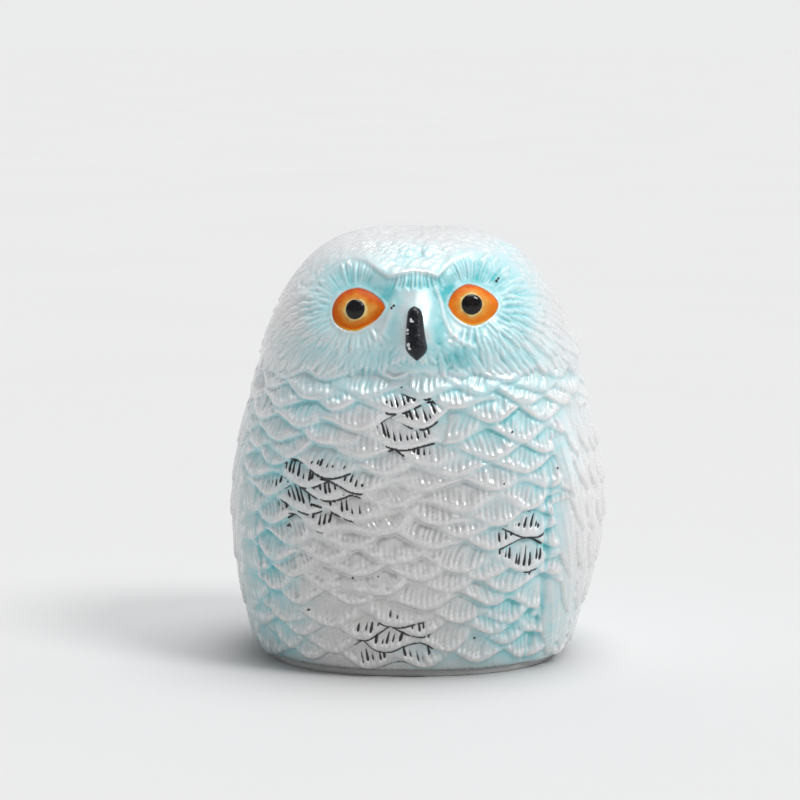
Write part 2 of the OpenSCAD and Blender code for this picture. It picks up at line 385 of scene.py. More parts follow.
# each row: height share of the tips, the feathers' length and width
wing_rows = ((0.012, 19, 5.6), (0.11, 18, 5.4), (0.21, 17, 5.2), (0.31, 16, 5.0), (0.40, 14, 5.0),
             (0.49, 12, 4.8))
wing_count = 0
for turn in (-158, 158, -165, 165, -172, 172, 180):
    at, across, up, normal = place_on(0.008, turn)
    lay_blade(at, -up, normal, 8.0, 26, thick=1.3, level=0.6)
    wing_count += 1
for rank, (share, long, wide) in enumerate(wing_rows):
    for side in (-1, 1):
        first = wing_edge[(side + 1) // 2] + (9 if side < 0 else 4.5)
        step = 7.4 if share > 0.2 else 8.2
        for k in range(int((176 - first) / step) + 1):
            turn = side * (first + step * (k + 0.5 * (rank % 2)) + chance.uniform(-0.8, 0.8))
            if abs(turn) > 166 or (share < 0.15 and abs(turn) > 150):
                continue
            at, across, up, normal = place_on(share + chance.uniform(-0.006, 0.006), wing_tip(turn, share))
            tip_way = -up + across * side * (0.26 - 0.1 * share)
            lay_blade(at, tip_way, normal, wide * chance.uniform(0.92, 1.1),
                      long * chance.uniform(0.92, 1.08))
            wing_count += 1
    for turn in (-171, 171, 180):
        if share > 0.15:
            at, across, up, normal = place_on(share - 0.008 * (abs(turn) == 180), turn)
            lay_blade(at, -up, normal, wide * 1.15, long)
            wing_count += 1
print(wing_count, "wing and tail feathers")

# %% Cut the groove in front of each wing
def furrow(turn, top, wide=0.9, deep=0.9):
    """A furrow down the body in front of a wing."""
    line = turn + 2.2 * np.sin(z_all / 8.5) * ramp((0.5 - height_share) / 0.2)
    off = np.radians(turn_of - line) * 38
    shape = bell(off / wide) * ramp((top - z_all) / 12) * ramp((z_all - 1) / 3)
    relief[:] -= deep * shape
    seam[:] = np.maximum(seam, 0.8 * shape)


furrow(45.5, 52)
furrow(-59, 50, 0.8, 0.5)
strip = ramp((-turn_of - 59.5) / 1.5) * ramp((75 + turn_of) / 3) * ramp((0.46 - height_share) / 0.05)
relief[:] = relief * (1 - 0.7 * strip) + 0.05 * strip
cut[:] *= 1 - 0.7 * strip
seam[:] *= 1 - 0.7 * strip
print(int((strip > 0.5).sum()), "points in the smooth strip")

# %% [markdown]
# ## The crown
# The cap of small scallops starts at the brow and runs back over the head. It is worked from the nape
# forwards, since each feather lies on the one behind it. On top the scallops are worked over afterwards,
# until soft pits are left. The cap's lower edge is a raised, clean line that dips between the eyes.

# %% Lay the crown
head_middle = np.array([face_x, 2.0, 66.0])
head_rows = levels > 0.62
head_points = net[head_rows].reshape(-1, 3)
head_shares = np.repeat(levels[head_rows], COLUMNS)
head_turns = np.tile(turns, head_rows.sum())
head_ways = head_points - head_middle
head_ways /= np.linalg.norm(head_ways, axis=1, keepdims=True)


def over_head(pitch_angle, roll_angle):
    """A place on the head: pitch_angle runs from the face over the top to the nape, roll_angle sideways."""
    way = np.array([math.sin(roll_angle), -math.cos(roll_angle) * math.cos(pitch_angle),
                    math.cos(roll_angle) * math.sin(pitch_angle)])
    found = np.argmax(head_ways @ way)
    share, turn = min(head_shares[found], 0.9995), head_turns[found]
    at, across, up, normal = place_on(share, turn)
    back = np.array([0, math.sin(pitch_angle), math.cos(pitch_angle)])
    return at, back - normal * np.dot(back, normal), normal


crown_count = 0
pitch_angle = math.radians(176)
rank = 0
while pitch_angle > math.radians(38):
    small = ramp((math.radians(150) - pitch_angle) / math.radians(70))
    wide = 9.0 - 6.2 * small
    rise = 2.6 - 1.6 * small
    for k in range(-20, 21):
        roll_angle = (k + 0.5 * (rank % 2)) * wide / 31
        if abs(roll_angle) > math.radians(88):
            continue
        at, back, normal = over_head(pitch_angle + 0.016 * chance.normal(),
                                     roll_angle + 0.024 * chance.normal())
        if at[2] < 70 or (at[1] < 4 and at[2] < 84):
            continue
        tip_way = back + 0.2 * chance.normal() * np.cross(back, normal)
        lay_scallop(at, tip_way, normal, wide * chance.uniform(0.85, 1.2), rise, lip=0.4, barb_gap=0.9,
                    barb_cut=0.16, crisp=0.3, level=0.25, swell=0)
        crown_count += 1
    pitch_angle -= rise / 31
    rank += 1
print(crown_count, "crown feathers in", rank, "rows")

# %% [markdown]
# ## The face
# Two fans of bristly feathers stand round the eyes. They are strokes set like the spokes of a wheel, in
# rings, and each ring's ragged outer edge lies a little over the next. The nose between them is left
# smooth. The eyes' own outline is made first, since the lids, the pockets and the glued eyes all follow it.

# %% The eyes' outline
eye_shape = {-1: (5.45, 6.6, 4.9, 4.75, 2.1, 1.42), 1: (5.1, 6.2, 4.6, 4.65, 1.6, 1.65)}
gaze = 0.4


def eye_radius(side, angle):
    """Distance from the middle of the pupil to the lid. Angle 0 points to the owl's left."""
    left_side, right_side, top, bottom, left_n, right_n = eye_shape[side]
    angle = angle - (0.07 if side < 0 else 0.03)
    c, s = np.cos(angle), np.sin(angle)
    long = np.where(c < 0, left_side, right_side)
    tall = np.where(s < 0, bottom, top)
    n = np.where(c < 0, left_n, right_n)
    return ((np.abs(c) / long) ** n + (np.abs(s) / tall) ** n) ** (-1 / n)


def eye_frame(side):
    """The middle of an eye on the skin and its axes: across, up and outwards."""
    x = face_x + side * eye_pitch / 2
    z = eye_z + side * eye_tilt / 2
    yaw = side * eye_yaw
    return (np.array([x, float(face_y(x, z)), z]),
            np.array([math.cos(yaw), math.sin(yaw), 0]),
            np.array([-math.sin(yaw) * math.sin(eye_up), math.cos(yaw) * math.sin(eye_up), math.cos(eye_up)]),
            np.array([math.sin(yaw) * math.cos(eye_up), -math.cos(yaw) * math.cos(eye_up), math.sin(eye_up)]))


# %% Where the face plate lies
brow_line = ((-60, 84), (-32, 84), (-27, 84.5), (-22.4, 87.6), (-20.6, 89.4), (-18.5, 91.2), (-16, 92.6),
             (-13, 93.1), (-10.4, 92.4), (-7.8, 90.6), (-5.4, 89.2), (-3, 90.0), (0, 90.7), (3, 90.3),
             (5.4, 89.4), (8.2, 91.9), (10.4, 93.0), (13, 94), (16, 94.6), (19.6, 94.2), (22.4, 92.0),
             (25, 88.6), (28, 86), (32, 84), (60, 84))
chin_line = ((-60, 66), (-34, 67), (-27, 68.6), (-18, 69.2), (-9, 70.0), (-4, 69.0), (1, 68.8), (6, 69.6),
             (12, 69.8), (19, 69.2), (27, 69.0), (34, 68), (60, 66))
above_brow = z_all - np.interp(x_all, *zip(*brow_line))
above_chin = z_all - np.interp(x_all, *zip(*chin_line)) - 0.5 * np.sin(x_all * 1.1) * np.sin(x_all * 0.37)
on_face = front & (above_brow < 0) & (above_chin > 0) & (np.abs(turn_of) < 84)
bristles_reach = front & (above_brow < -0.1) & (above_chin > -1.3) & (np.abs(turn_of) < 88)
print("face plate covers", int(on_face.sum()), "points")

# %% Measure the face from each eye
eye_angle = np.zeros(len(skin))
eye_reach = np.full(len(skin), 99.0)
eye_out = np.zeros(len(skin))
eye_side = np.where(x_all < face_x, -1, 1)
for side in (-1, 1):
    middle, across, up, outwards = eye_frame(side)
    mine = front & (eye_side == side) & (z_all > 60)
    offset = skin[mine] - middle
    a, b = offset @ across + gaze, offset @ up
    eye_angle[mine] = np.arctan2(b, a)
    eye_out[mine] = offset @ outwards
    eye_reach[mine] = np.sqrt(a ** 2 + b ** 2 + np.clip(-eye_out[mine], 0, 99) ** 2)
lid_reach = np.where(eye_side < 0, eye_radius(-1, eye_angle), eye_radius(1, eye_angle))
lid_gap = eye_reach - lid_reach
fan_points = {side: np.flatnonzero(front & (eye_side == side) & (z_all > 64) & (eye_reach < 47))[::3]
              for side in (-1, 1)}

for layer in (relief, seam, cut, rim, band):
    layer[on_face] = 0.0
print("the eyes' fans may stand on", [len(points) for points in fan_points.values()], "places")


# %% A bristle feather
def lay_bristle(at, way, normal, wide, long, high=0.42, curl=0.0, white=0.5):
    """One narrow ridge with a pointed tip. way points from its root to its tip, and at is the tip."""
    index, u, v = flat_view(at, way, normal, long + 1)
    u = u + curl * (v / long) ** 2 * long * 0.3
    share = np.clip(v / long, 0, 1)
    half = wide / 2 * (1 - (1 - np.clip(share / 0.45, 0, 1)) ** 2.2) * (1 - 0.35 * share)
    inward = half - np.abs(u)
    under = (v > 0) & (v < long) & (inward > 0) & bristles_reach[index]
    beside = (v > 0.2) & (v < long * 0.85) & (inward <= 0) & (inward > -0.42) & bristles_reach[index]
    swell = np.sqrt(np.clip(inward / np.maximum(half, 0.05), 0, 1)) * (1 - share) ** 0.45
    swell *= ramp(v / 0.5 + 0.35)
    height = high * swell
    now = relief[index]
    relief[index[under]] = np.maximum(now[under] - 0.10 * (1 - share[under]), height[under])
    cut[index[under]] *= 0.25
    # white along each bristle's crest: dry brush and painted highlight
    crest_white_and_highlight = white * bell((inward[under] - 0.55 * half[under]) / 0.2) * (1 - share[under])
    rim[index[under]] = np.maximum(rim[index[under]] * 0.4, crest_white_and_highlight)
    groove_line = bell((inward[beside] + 0.1) / 0.2) * ramp((0.85 - share[beside]) / 0.25)
    relief[index[beside]] -= 0.21 * groove_line
    cut[index[beside]] = np.maximum(cut[index[beside]], groove_line)


def skin_point_from_eye(side, angle, reach):
    """The place on the skin at an angle and a distance from the eye, or None off the head."""
    mine = fan_points[side]
    miss = np.hypot(eye_reach[mine] - reach, reach * np.sin((eye_angle[mine] - angle) / 2) * 2)
    best = np.argmin(miss)
    return mine[best] if miss[best] < 1.2 else None


# %% Set the bristles, the outer ones first
bristle_count = 0
# each ring: distance from the pupil, degrees from bristle to bristle, length, width and height
rings = ((41.5, 4.0, 12, 2.8, 0.36), (36.6, 4.3, 12, 2.8, 0.38), (32.0, 4.6, 12, 2.8, 0.40),
         (27.5, 5.2, 11, 2.6, 0.42), (23.2, 6.2, 10, 2.5, 0.45), (19.4, 7.2, 8.5, 2.2, 0.48),
         (15.8, 8.2, 7.0, 1.9, 0.50), (12.6, 9.2, 5.4, 1.6, 0.46), (9.9, 9.8, 3.6, 1.4, 0.36))
for rank, (reach, step, long, wide, high) in enumerate(rings):
    innermost = rank == len(rings) - 1
    lowest_away, highest_away = (-2.3, 2.0) if innermost else (-2.5, 2.15)
    for side in (-1, 1):
        start = chance.uniform(0, step)
        for k in range(int(360 / step)):
            away = math.radians(-180 + start + k * step + chance.uniform(-0.3, 0.3) * step)
            if not lowest_away < away < highest_away:
                continue
            low = float(bell((away + 1.35) / 0.8))
            raised = 1.2 * float(bell((away - 0.9) / 0.9)) if rank > 6 else 0
            here = reach * (1 + 0.06 * chance.normal()) + raised
            angle = away if side > 0 else math.pi - away
            found = skin_point_from_eye(side, angle if angle < math.pi else angle - 2 * math.pi, here)
            if found is None or not bristles_reach[found] or chance.uniform() < 0.06:
                continue
            way = skin[found] - eye_frame(side)[0]
            way = way / np.linalg.norm(way) + np.array([0.35 * side, 0.1, -0.1]) * ramp((here - 16) / 14)
            if z_all[found] < 71 + 1.5 * (rank > 5) and not innermost and rank % 2:
                continue
            lay_bristle(skin[found], way, out[found], wide * chance.uniform(0.8, 1.2),
                        long * (1 + 0.5 * low) * chance.uniform(0.8, 1.15), high * chance.uniform(0.75, 1.15),
                        curl=chance.uniform(-0.35, 0.35))
            bristle_count += 1
print(bristle_count, "bristles round the eyes")

# %% The nose, the ridges beside it and the arch over it
nose_x = x_all - face_x - 0.04 * (eye_z - z_all)
nose_half = 4.0 + 2.7 * ramp((eye_z - z_all) / 9)
nose_share = ramp((nose_half + 1.6 - np.abs(nose_x)) / 2.4) * ramp((z_all - 70.8) / 2.5) * on_face
nose_share *= ramp((88.3 - z_all) / 1.6)
relief = relief * (1 - nose_share) + 0.22 * nose_share
cut *= 1 - nose_share
rim *= 1 - nose_share


def raise_line(path, high, wide, white=0.6):
    """A raised line over the face through a few places, given as x and z."""
    path = np.array(path, float)
    best = np.full(len(skin), 99.0)
    for start, end in zip(path[:-1], path[1:]):
        step = end - start
        share = np.clip(((x_all - start[0]) * step[0] + (z_all - start[1]) * step[1]) / (step @ step), 0, 1)
        away = np.hypot(x_all - start[0] - share * step[0], z_all - start[1] - share * step[1])
        best = np.minimum(best, away)
    shape = bell(best / wide) * front
    relief[:] += high * shape
    # white along the raised line: dry brush and painted highlight
    rim[:] = np.maximum(rim, white * bell(best / wide * 1.4) * front)


raise_line(((4.9, 87.4), (6.2, 84), (6.9, 80.6), (8.2, 77.8), (10.6, 75.6), (13.4, 74.6)), 0.42, 0.6, 0.7)
raise_line(((-4.2, 84), (-5.6, 80.2), (-7.0, 77.0), (-9.4, 74.4)), 0.35, 0.6, 0.5)


def comb(mask_value, place, deep, wide, gap):
    """Short strokes side by side over part of the face."""
    cell = np.floor(place / gap).astype(int)
    wander = chance.uniform(-0.22, 0.22, 600)[cell + 300]
    weight = chance.uniform(0.4, 1.1, 600)[cell + 300]
    stroke = bell((place / gap - cell - 0.5 - wander) * gap / wide) * weight * mask_value
    relief[:] -= deep * stroke
    cut[:] = np.maximum(cut, stroke)


for side, low, high in ((-1, 1.0, 2.85), (1, 0.3, 2.15)):
    sector = (eye_side == side) * ramp((eye_angle - low) / 0.25) * ramp((high - eye_angle) / 0.25) * on_face
    sector *= ramp((lid_gap - 1.2) / 0.6) * ramp((8.0 - lid_gap) / 2.5)
    relief = relief * (1 - 0.8 * sector)
    cut *= 1 - 0.8 * sector
    rim *= 1 - 0.7 * sector
    comb(sector, 10.5 * eye_angle, 0.38, 0.24, 1.0)

arch_band = ramp((z_all - 87.0 - 0.4 * np.sin(x_all * 2.9)) / 0.7) * on_face
arch_band *= ramp((6.4 - np.abs(x_all - 0.7)) / 1.5)
comb(arch_band, x_all + 0.25 * (x_all - 0.7) * (z_all - 88) / 4, 0.5, 0.25, 0.95)

# %% Bristles under the beak
for k in range(15):
    x = face_x + (k - 7) * 1.45 + chance.uniform(-0.4, 0.4)
    z = 70.6 + 0.035 * (x - face_x) ** 2 + chance.uniform(-0.7, 0.9)
    found = np.argmin(np.hypot(x_all - x, z_all - z) + 99 * ~front)
    way = np.array([(x - face_x) * 0.16, 0, -1.0])
    lay_bristle(skin[found], way, out[found], 1.5, chance.uniform(3.2, 5.2), 0.42,
                chance.uniform(-0.4, 0.4), 0.6)

# %% Bristles over the chin line
bristles_reach = front & (above_brow < -0.1) & (above_chin > -2.6) & (np.abs(turn_of) < 88)
for k in range(52):
    x = -35 + k * 1.36 + chance.uniform(-0.5, 0.5)
    if abs(x - face_x) < 6:
        continue
    z = float(np.interp(x, *zip(*chin_line))) + chance.uniform(-1.7, 0.6)
    found = np.argmin(np.hypot(x_all - x, z_all - z) + 99 * ~front)
    way = np.array([0.022 * (x - face_x) + 0.35 * np.sign(x) * ramp((abs(x) - 5) / 15), 0, -0.8])
    lay_bristle(skin[found], way, out[found], chance.uniform(1.5, 2.4), chance.uniform(4.5, 8), 0.42,
                chance.uniform(-0.4, 0.4), 0.55)

# %% Lids and brow
lid = bell((lid_gap - 0.5) / 0.32) * on_face
bare_ring = bell((lid_gap - 0.2) / 0.75) * on_face
relief = relief * (1 - bare_ring) + 0.05 * bare_ring + 0.2 * lid
cut *= 1 - bare_ring
# a thin white line round the lid: dry brush and painted highlight
rim = np.maximum(rim * (1 - bare_ring), 0.35 * bell((lid_gap - 0.5) / 0.26) * on_face)
relief -= 0.2 * bell(above_brow / 1.5) * on_face * (0.3 + 0.7 * bell((x_all - 0.7) / 9))

stipple = np.sin(4.4 * x_all + 1.5 * np.sin(1.9 * z_all))
stipple *= np.sin(4.7 * (skin[:, 1] + z_all) + 1.8 * np.sin(1.6 * x_all))
on_crown = ramp((z_all - 88) / 4) * ~on_face
relief = relief * (1 - 0.7 * on_crown) + (0.05 + 0.1 * stipple) * on_crown
arch = bell((x_all - 0.7) / 5.5)
brow_high = 1.6 + 1.6 * bell((np.abs(x_all - 0.7) - 9) / 5)
brow = ramp((above_brow + 0.1) / 0.5) * ramp((brow_high - above_brow) / 2.2) * front
brow *= ramp((18 - np.abs(x_all)) / 9)
brow_shape = 0.22 + 0.12 * bell((above_brow - 1.0) / 1.2) + 0.38 * arch * bell((above_brow - 0.35) / 0.4)
brow_shape += 0.06 * np.sin(x_all * 1.7) * np.sin(z_all * 1.1)
relief = relief * (1 - 0.85 * brow) + brow_shape * 0.85 * brow
cut *= 1 - 0.8 * brow
seam *= 1 - 0.8 * brow
# white along the brow's raised edge: dry brush and painted highlight
rim = np.maximum(rim * (1 - brow), (0.35 + 0.6 * arch) * bell((above_brow - 0.5) / 0.4) * front
                 * ramp((16 - np.abs(x_all)) / 5))

# %% [markdown]
# ## Finishing the carving
# A casting never has razor edges: rubber moulds and thick lacquer round everything off. A light blur over
# the net does the same. After that the cheeks are filled out, a notch is drawn round the neck, the eye
# pockets are cut to a flat floor, so they stay crisp, and the foot's edge is rounded.

# %% Soften, cut the pockets, round the foot
def smear(values, times):
    """Averages each point with its neighbours on the net."""
    grid = values.reshape(ROWS, COLUMNS)
    for _ in range(times):
        grid = 0.5 * grid + 0.25 * (np.roll(grid, 1, axis=1) + np.roll(grid, -1, axis=1))
        padded = np.pad(grid, ((1, 1), (0, 0)), mode="edge")
        grid = 0.5 * grid + 0.25 * (padded[2:] + padded[:-2])
    return grid.ravel()


fine_steps = 2
relief = smear(relief, fine_steps)
hollow_small = np.clip((smear(relief, 5 * fine_steps) - relief) / 0.18, -1, 1)
hollow_wide = np.clip((smear(relief, 40 * fine_steps) - relief) / 0.4, -1, 1)
wavy = np.sin(x_all * 0.9 + 2 * np.sin(z_all * 0.31)) * np.sin(z_all * 0.8 + 1.3 * np.sin(x_all * 0.4))
relief += 0.05 * wavy

pocket = on_face & (lid_gap < 0.25)
facing = np.zeros(len(skin))
for side in (-1, 1):
    outwards = eye_frame(side)[3]
    mine = pocket & (eye_side == side)
    facing[mine] = out[mine] @ outwards
notch = bell((z_all - 66.4) / 1.3) * ramp((turn_of - 58) / 14) * ramp((128 - turn_of) / 25)
cheek = bell((z_all - 71) / 3.2) * ramp((turn_of - 58) / 14) * ramp((115 - turn_of) / 25)
relief += 0.9 * cheek - 0.7 * notch
floor_relief = np.where(pocket, (-2.15 - eye_out) / np.where(pocket, np.maximum(facing, 0.3), 1), 0)
relief = np.where(pocket & (lid_gap < 0.05), floor_relief, relief)

carved = skin + out * relief[:, None]
foot_round = 0.9
foot_gap = np.clip(foot_round - (z_all - felt_t), 0, foot_round)
rounding = foot_round - np.sqrt(np.clip(foot_round ** 2 - foot_gap ** 2, 0, 1))
flat_out = out * np.array([1, 1, 0])
carved -= flat_out * rounding[:, None]
carved[:, 2] = np.maximum(carved[:, 2], felt_t)
carved[:COLUMNS, 2] = felt_t
print(f"carving runs from {relief.min():.2f} to {relief.max():.2f} mm, top at {carved[:, 2].max():.2f} mm")

# %% [markdown]
# ## Where the paint goes
# The paint is planned on the same net, one number per point for each colour. The airbrush leaves soft
# clouds of turquoise that settle in the hollows. The dark grey is brushed only into the outlines and barb
# strokes of a few feathers. The material reads these numbers later as attributes, and adds the finer
# unevenness itself.

# %% Airbrush clouds
def cloud(x, z, wide, tall, strength, turned=0.0):
    """A soft spray over the front, centred at x and z."""
    c, s = math.cos(turned), math.sin(turned)
    a = (x_all - x) * c + (z_all - z) * s
    b = (z_all - z) * c - (x_all - x) * s
    return strength * np.exp(-np.abs(a / wide) ** 2.2 - np.abs(b / tall) ** 2.2)


teal = np.zeros(len(skin))
for spray in (
        (-13, 88, 9, 5, 0.62, 0.1), (-6.5, 86, 4.5, 5, 0.85, -0.5), (-20, 82, 5, 8, 0.42),
        (-13, 76, 11, 6, 0.3, 0.1), (15, 88.5, 10, 5.5, 0.78, -0.1), (7.8, 86, 4.5, 6, 0.95, 0.3),
        (22, 82, 6, 9, 0.62), (16, 76, 11, 6, 0.52), (1, 88.8, 7, 2.4, 0.7), (0, 93.5, 10, 3, 0.35),
        (5.9, 78.5, 2.6, 8, 0.75, 0.08), (-4.6, 77, 2.8, 9, 0.5, -0.08), (9, 72.5, 9, 4, 0.75, -0.2),
        (-9, 72, 9, 4.5, 0.5, 0.2), (22, 72, 10, 4.5, 0.42), (-20, 73, 10, 4.5, 0.35),
        (21, 94.3, 6, 2.4, 0.3), (-12, 66, 22, 3.4, 0.35), (16, 66, 24, 3.4, 0.42),
        (0.6, 71, 7, 3, 0.45), (1.2, 82, 4.5, 6, 0.3)):
    teal = np.maximum(teal, cloud(*spray))
frontness = ramp((112 - np.abs(turn_of)) / 40)
teal = np.clip(teal, 0, 1) * frontness
gaps = np.zeros(len(skin))
for spray in (
        (-24, 60, 9, 9, 0.8), (-16, 64, 14, 4, 0.6), (-31, 48, 9, 13, 0.8), (20, 58, 15, 10, 0.9),
        (28, 50, 8, 10, 0.85), (6, 64, 16, 4, 0.5), (29.5, 36, 4.5, 22, 0.95), (24, 12, 11, 14, 0.95),
        (-33, 26, 6, 24, 0.9), (-20, 50, 14, 5, 0.45), (22, 30, 10, 12, 0.5), (-31, 8, 8, 10, 0.7),
        (10, 5, 14, 4, 0.4)):
    gaps = np.maximum(gaps, cloud(*spray))
gaps = gaps * frontness + (1 - frontness) * (0.2 + 0.3 * ramp((0.55 - height_share) / 0.3))
print(f"turquoise reaches {100 * float((teal > 0.2).mean()):.0f}% of the skin")

# %% Painted shade: the pearl darker towards the lower left and the bottom
# painted shade: greyer towards the lower left and towards the foot, where less light falls
painted_shade_low_left = ramp((72 - z_all) / 44) * ramp((44 - x_all) / 34) * 0.75 + 0.35 * ramp((34 - z_all) / 30)
painted_shade_low_left = np.clip(painted_shade_low_left, 0, 1)

# %% Brushed dark feathers
dark = np.zeros(len(skin))
for x, z, wide, tall in ((-1, 58.2, 7.0, 7.6), (-21, 41.8, 11.2, 7.4), (24.4, 30.7, 5.2, 6.6),
                         (-4.4, 8.5, 8.6, 6.6)):
    edge = np.sqrt(((x_all - x) / wide) ** 2 + ((z_all - z) / tall) ** 2)
    edge = edge + 0.13 * np.sin(x_all * 0.9 + z) + 0.1 * np.sin(z_all * 1.3 + x)
    dark = np.maximum(dark, ramp((1.06 - edge) / 0.16) * front)
patchy = 0.5 + 0.5 * np.sin(x_all * 0.83 + 1.7 * np.sin(z_all * 0.6)) * np.sin(z_all * 0.74 + 0.9 * x_all)
in_outline = 1.05 * seam ** 0.8 * ramp((patchy - 0.12) / 0.3)
ink = dark * np.clip(np.maximum(in_outline, 2.0 * (cut - 0.1)), 0, 1)
flecks = np.zeros(len(skin))
for x, z, size in ((21.8, 56, 0.32), (32.4, 47, 0.3), (20, 44.7, 0.24), (-28, 34.3, 0.32),
                   (-13.4, 23.5, 0.28), (-7.7, 24, 0.24), (-23.3, 15.3, 0.3), (13.9, 9, 0.3),
                   (-4.6, 83.0, 0.3), (-4.1, 83.5, 0.26), (18.6, 88.4, 0.32), (19.0, 88.9, 0.28)):
    flecks = np.maximum(flecks, bell(np.hypot(x_all - x, z_all - z) / size) * front)
ink = np.maximum(ink, 0.85 * flecks)
print("dark strokes on", int((ink > 0.5).sum()), "points")

# %% [markdown]
# ## From net to mesh
# The net becomes one closed mesh: the carved skin, a point on the crown, the rim under the foot, the rebate
# that holds the base plate, and the core that keeps the wall thin. Arrays are handed over in one go, which
# is far quicker than adding faces one at a time. A map along rows and columns comes with it, for whoever
# wants to bake the paint.

# %% Helper: a mesh from arrays
def make_mesh(name, points_mm, quads, triangles=(), smooth=True):
    """A mesh object from points in mm, four-sided faces and three-sided faces."""
    quads = np.asarray(quads, int).reshape(-1, 4)
    triangles = np.asarray(triangles, int).reshape(-1, 3)
    mesh = bpy.data.meshes.new(name)
    mesh.vertices.add(len(points_mm))
    mesh.vertices.foreach_set("co", (np.asarray(points_mm, float) * MM).ravel())
    corners = np.concatenate([quads.ravel(), triangles.ravel()])
    mesh.loops.add(len(corners))
    mesh.loops.foreach_set("vertex_index", corners)
    mesh.polygons.add(len(quads) + len(triangles))
    starts = np.concatenate([np.arange(len(quads)) * 4, len(quads) * 4 + np.arange(len(triangles)) * 3])
    mesh.polygons.foreach_set("loop_start", starts)
    mesh.update(calc_edges=True)
    mesh.validate()
    mesh.polygons.foreach_set("use_smooth", np.full(len(mesh.polygons), smooth))
    piece = bpy.data.objects.new(name, mesh)
    bpy.context.scene.collection.objects.link(piece)
    return piece


def add_number(piece, name, values):
    """Stores one number per point, for the material to read."""
    layer = piece.data.attributes.new(name, "FLOAT", "POINT")
    layer.data.foreach_set("value", np.asarray(values, np.float32))


def ring_faces(lower, upper, count):
    """Quads between two closed rings of points, given their first indices."""
    k = np.arange(count)
    n = (k + 1) % count
    return np.stack([lower + k, lower + n, upper + n, upper + k], 1)


def fan_faces(ring, tip, count, turned=False):
    """Triangles between a closed ring of points and a tip."""
    k = ring + np.arange(count)
    n = ring + (np.arange(count) + 1) % count
    return np.stack([n, k, np.full(count, tip)] if turned else [k, n, np.full(count, tip)], 1)


def loft(name, rings, first_tip, last_tip):
    """A closed mesh through rings of equal count, with a point to close each end."""
    count = len(rings[0])
    last = (len(rings) - 1) * count
    first_end = last + count
    quads = np.concatenate([ring_faces(k + count, k, count) for k in range(0, last, count)])
    fans = np.concatenate([fan_faces(0, first_end, count), fan_faces(last, first_end + 1, count, True)])
    return make_mesh(name, np.concatenate(rings + [[first_tip], [last_tip]]), quads, fans)


# %% Build the casting
rim_in, plate_t, ledge = 3.0, 3.0, 3.0
foot_ring = carved[:COLUMNS].copy()
foot_middle = np.array([0, 0, felt_t])


def inner_ring(inset, z, shrink=1.0):
    """The foot's outline drawn in by a distance, at height z."""
    away_from = foot_ring - foot_middle
    away_from[:, 2] = 0
    length = np.linalg.norm(away_from, axis=1, keepdims=True)
    ring = foot_middle + away_from * (1 - inset / length) * shrink
    ring[:, 2] = z
    return ring


core_roof = casting_h * 0.6
under = [inner_ring(1.2, felt_t), inner_ring(rim_in, felt_t), inner_ring(rim_in, felt_t + plate_t),
         inner_ring(rim_in + ledge, felt_t + plate_t)]
for t in (0.25, 0.5, 0.72, 0.88, 0.97):
    swell = 1 + 0.12 * math.sin(math.pi * min(t * 1.1, 1))
    under.append(inner_ring(rim_in + ledge, felt_t + plate_t + (core_roof - plate_t) * t,
                            swell * math.sqrt(1 - t ** 4)))
points = np.concatenate([carved, [[lean, carved[-COLUMNS:, 1].mean(), carved[-COLUMNS:, 2].max()]]] + under
                        + [[[lean, 0, felt_t + core_roof]]])
crown_tip = len(carved)
first_under = crown_tip + 1
starts = [first_under + k * COLUMNS for k in range(len(under))]
roof_tip = len(points) - 1
quads = [ring_faces(r * COLUMNS, (r + 1) * COLUMNS, COLUMNS) for r in range(ROWS - 1)]
quads += [ring_faces(b, a, COLUMNS) for a, b in zip([0] + starts[:-1], starts)]
fans = np.concatenate([fan_faces((ROWS - 1) * COLUMNS, crown_tip, COLUMNS),
                       fan_faces(starts[-1], roof_tip, COLUMNS, True)])
owl_body = make_mesh("owl_body", points, np.concatenate(quads), fans)
extra = len(points) - len(carved)
for name, values in (("teal", teal), ("gaps", gaps), ("ink", ink), ("seam", seam), ("cut", cut),
                     ("rim", rim), ("hollow", hollow_small), ("deep", hollow_wide), ("painted_shade_low_left", painted_shade_low_left),
                     ("band", band)):
    add_number(owl_body, name, np.concatenate([values, np.zeros(extra)]))
print("owl_body has", len(owl_body.data.polygons), "faces")

# %% A map for baking
corner_of = np.zeros(len(owl_body.data.loops), int)
owl_body.data.loops.foreach_get("vertex_index", corner_of)
column_of = np.concatenate([np.tile(np.arange(COLUMNS), ROWS), [0],
                            np.tile(np.arange(COLUMNS), len(under)), [0]])
height_of = np.concatenate([np.repeat(np.linspace(0.12, 1, ROWS), COLUMNS), [1],
                            np.repeat(np.linspace(0.1, 0.01, len(under)), COLUMNS), [0.0]])
across_map = column_of[corner_of] / COLUMNS
loop_totals = np.zeros(len(owl_body.data.polygons), int)
owl_body.data.polygons.foreach_get("loop_total", loop_totals)
face_of = np.repeat(np.arange(len(loop_totals)), loop_totals)
widest = np.zeros(len(loop_totals))
np.maximum.at(widest, face_of, across_map)
across_map = np.where((widest[face_of] > 0.75) & (across_map < 0.25), across_map + 1, across_map)
flat_map = owl_body.data.uv_layers.new(name="OFBake")
flat_map.data.foreach_set("uv", np.stack([across_map * 0.998, height_of[corner_of] * 0.998], 1).ravel())
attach(owl_body, "root")
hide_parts("body_casting")

# %% [markdown]
# ## The lacquer on the casting
# The owl is dipped or sprayed in a pearly white, airbrushed, brushed and then sealed with gloss. A
# principled surface with a clear coat over it gives that. The colours are mixed from the attributes:
# turquoise where the clouds are and more of it in hollows, painted grey shade in the cuts, a pearl darkened
# towards the lower left and the bottom as painted shade, and white along raised edges that is partly dry
# brush and partly painted highlight. Where the turquoise is thick it is deeper, and hides the pearl's sheen.
# Noise breaks up every border.

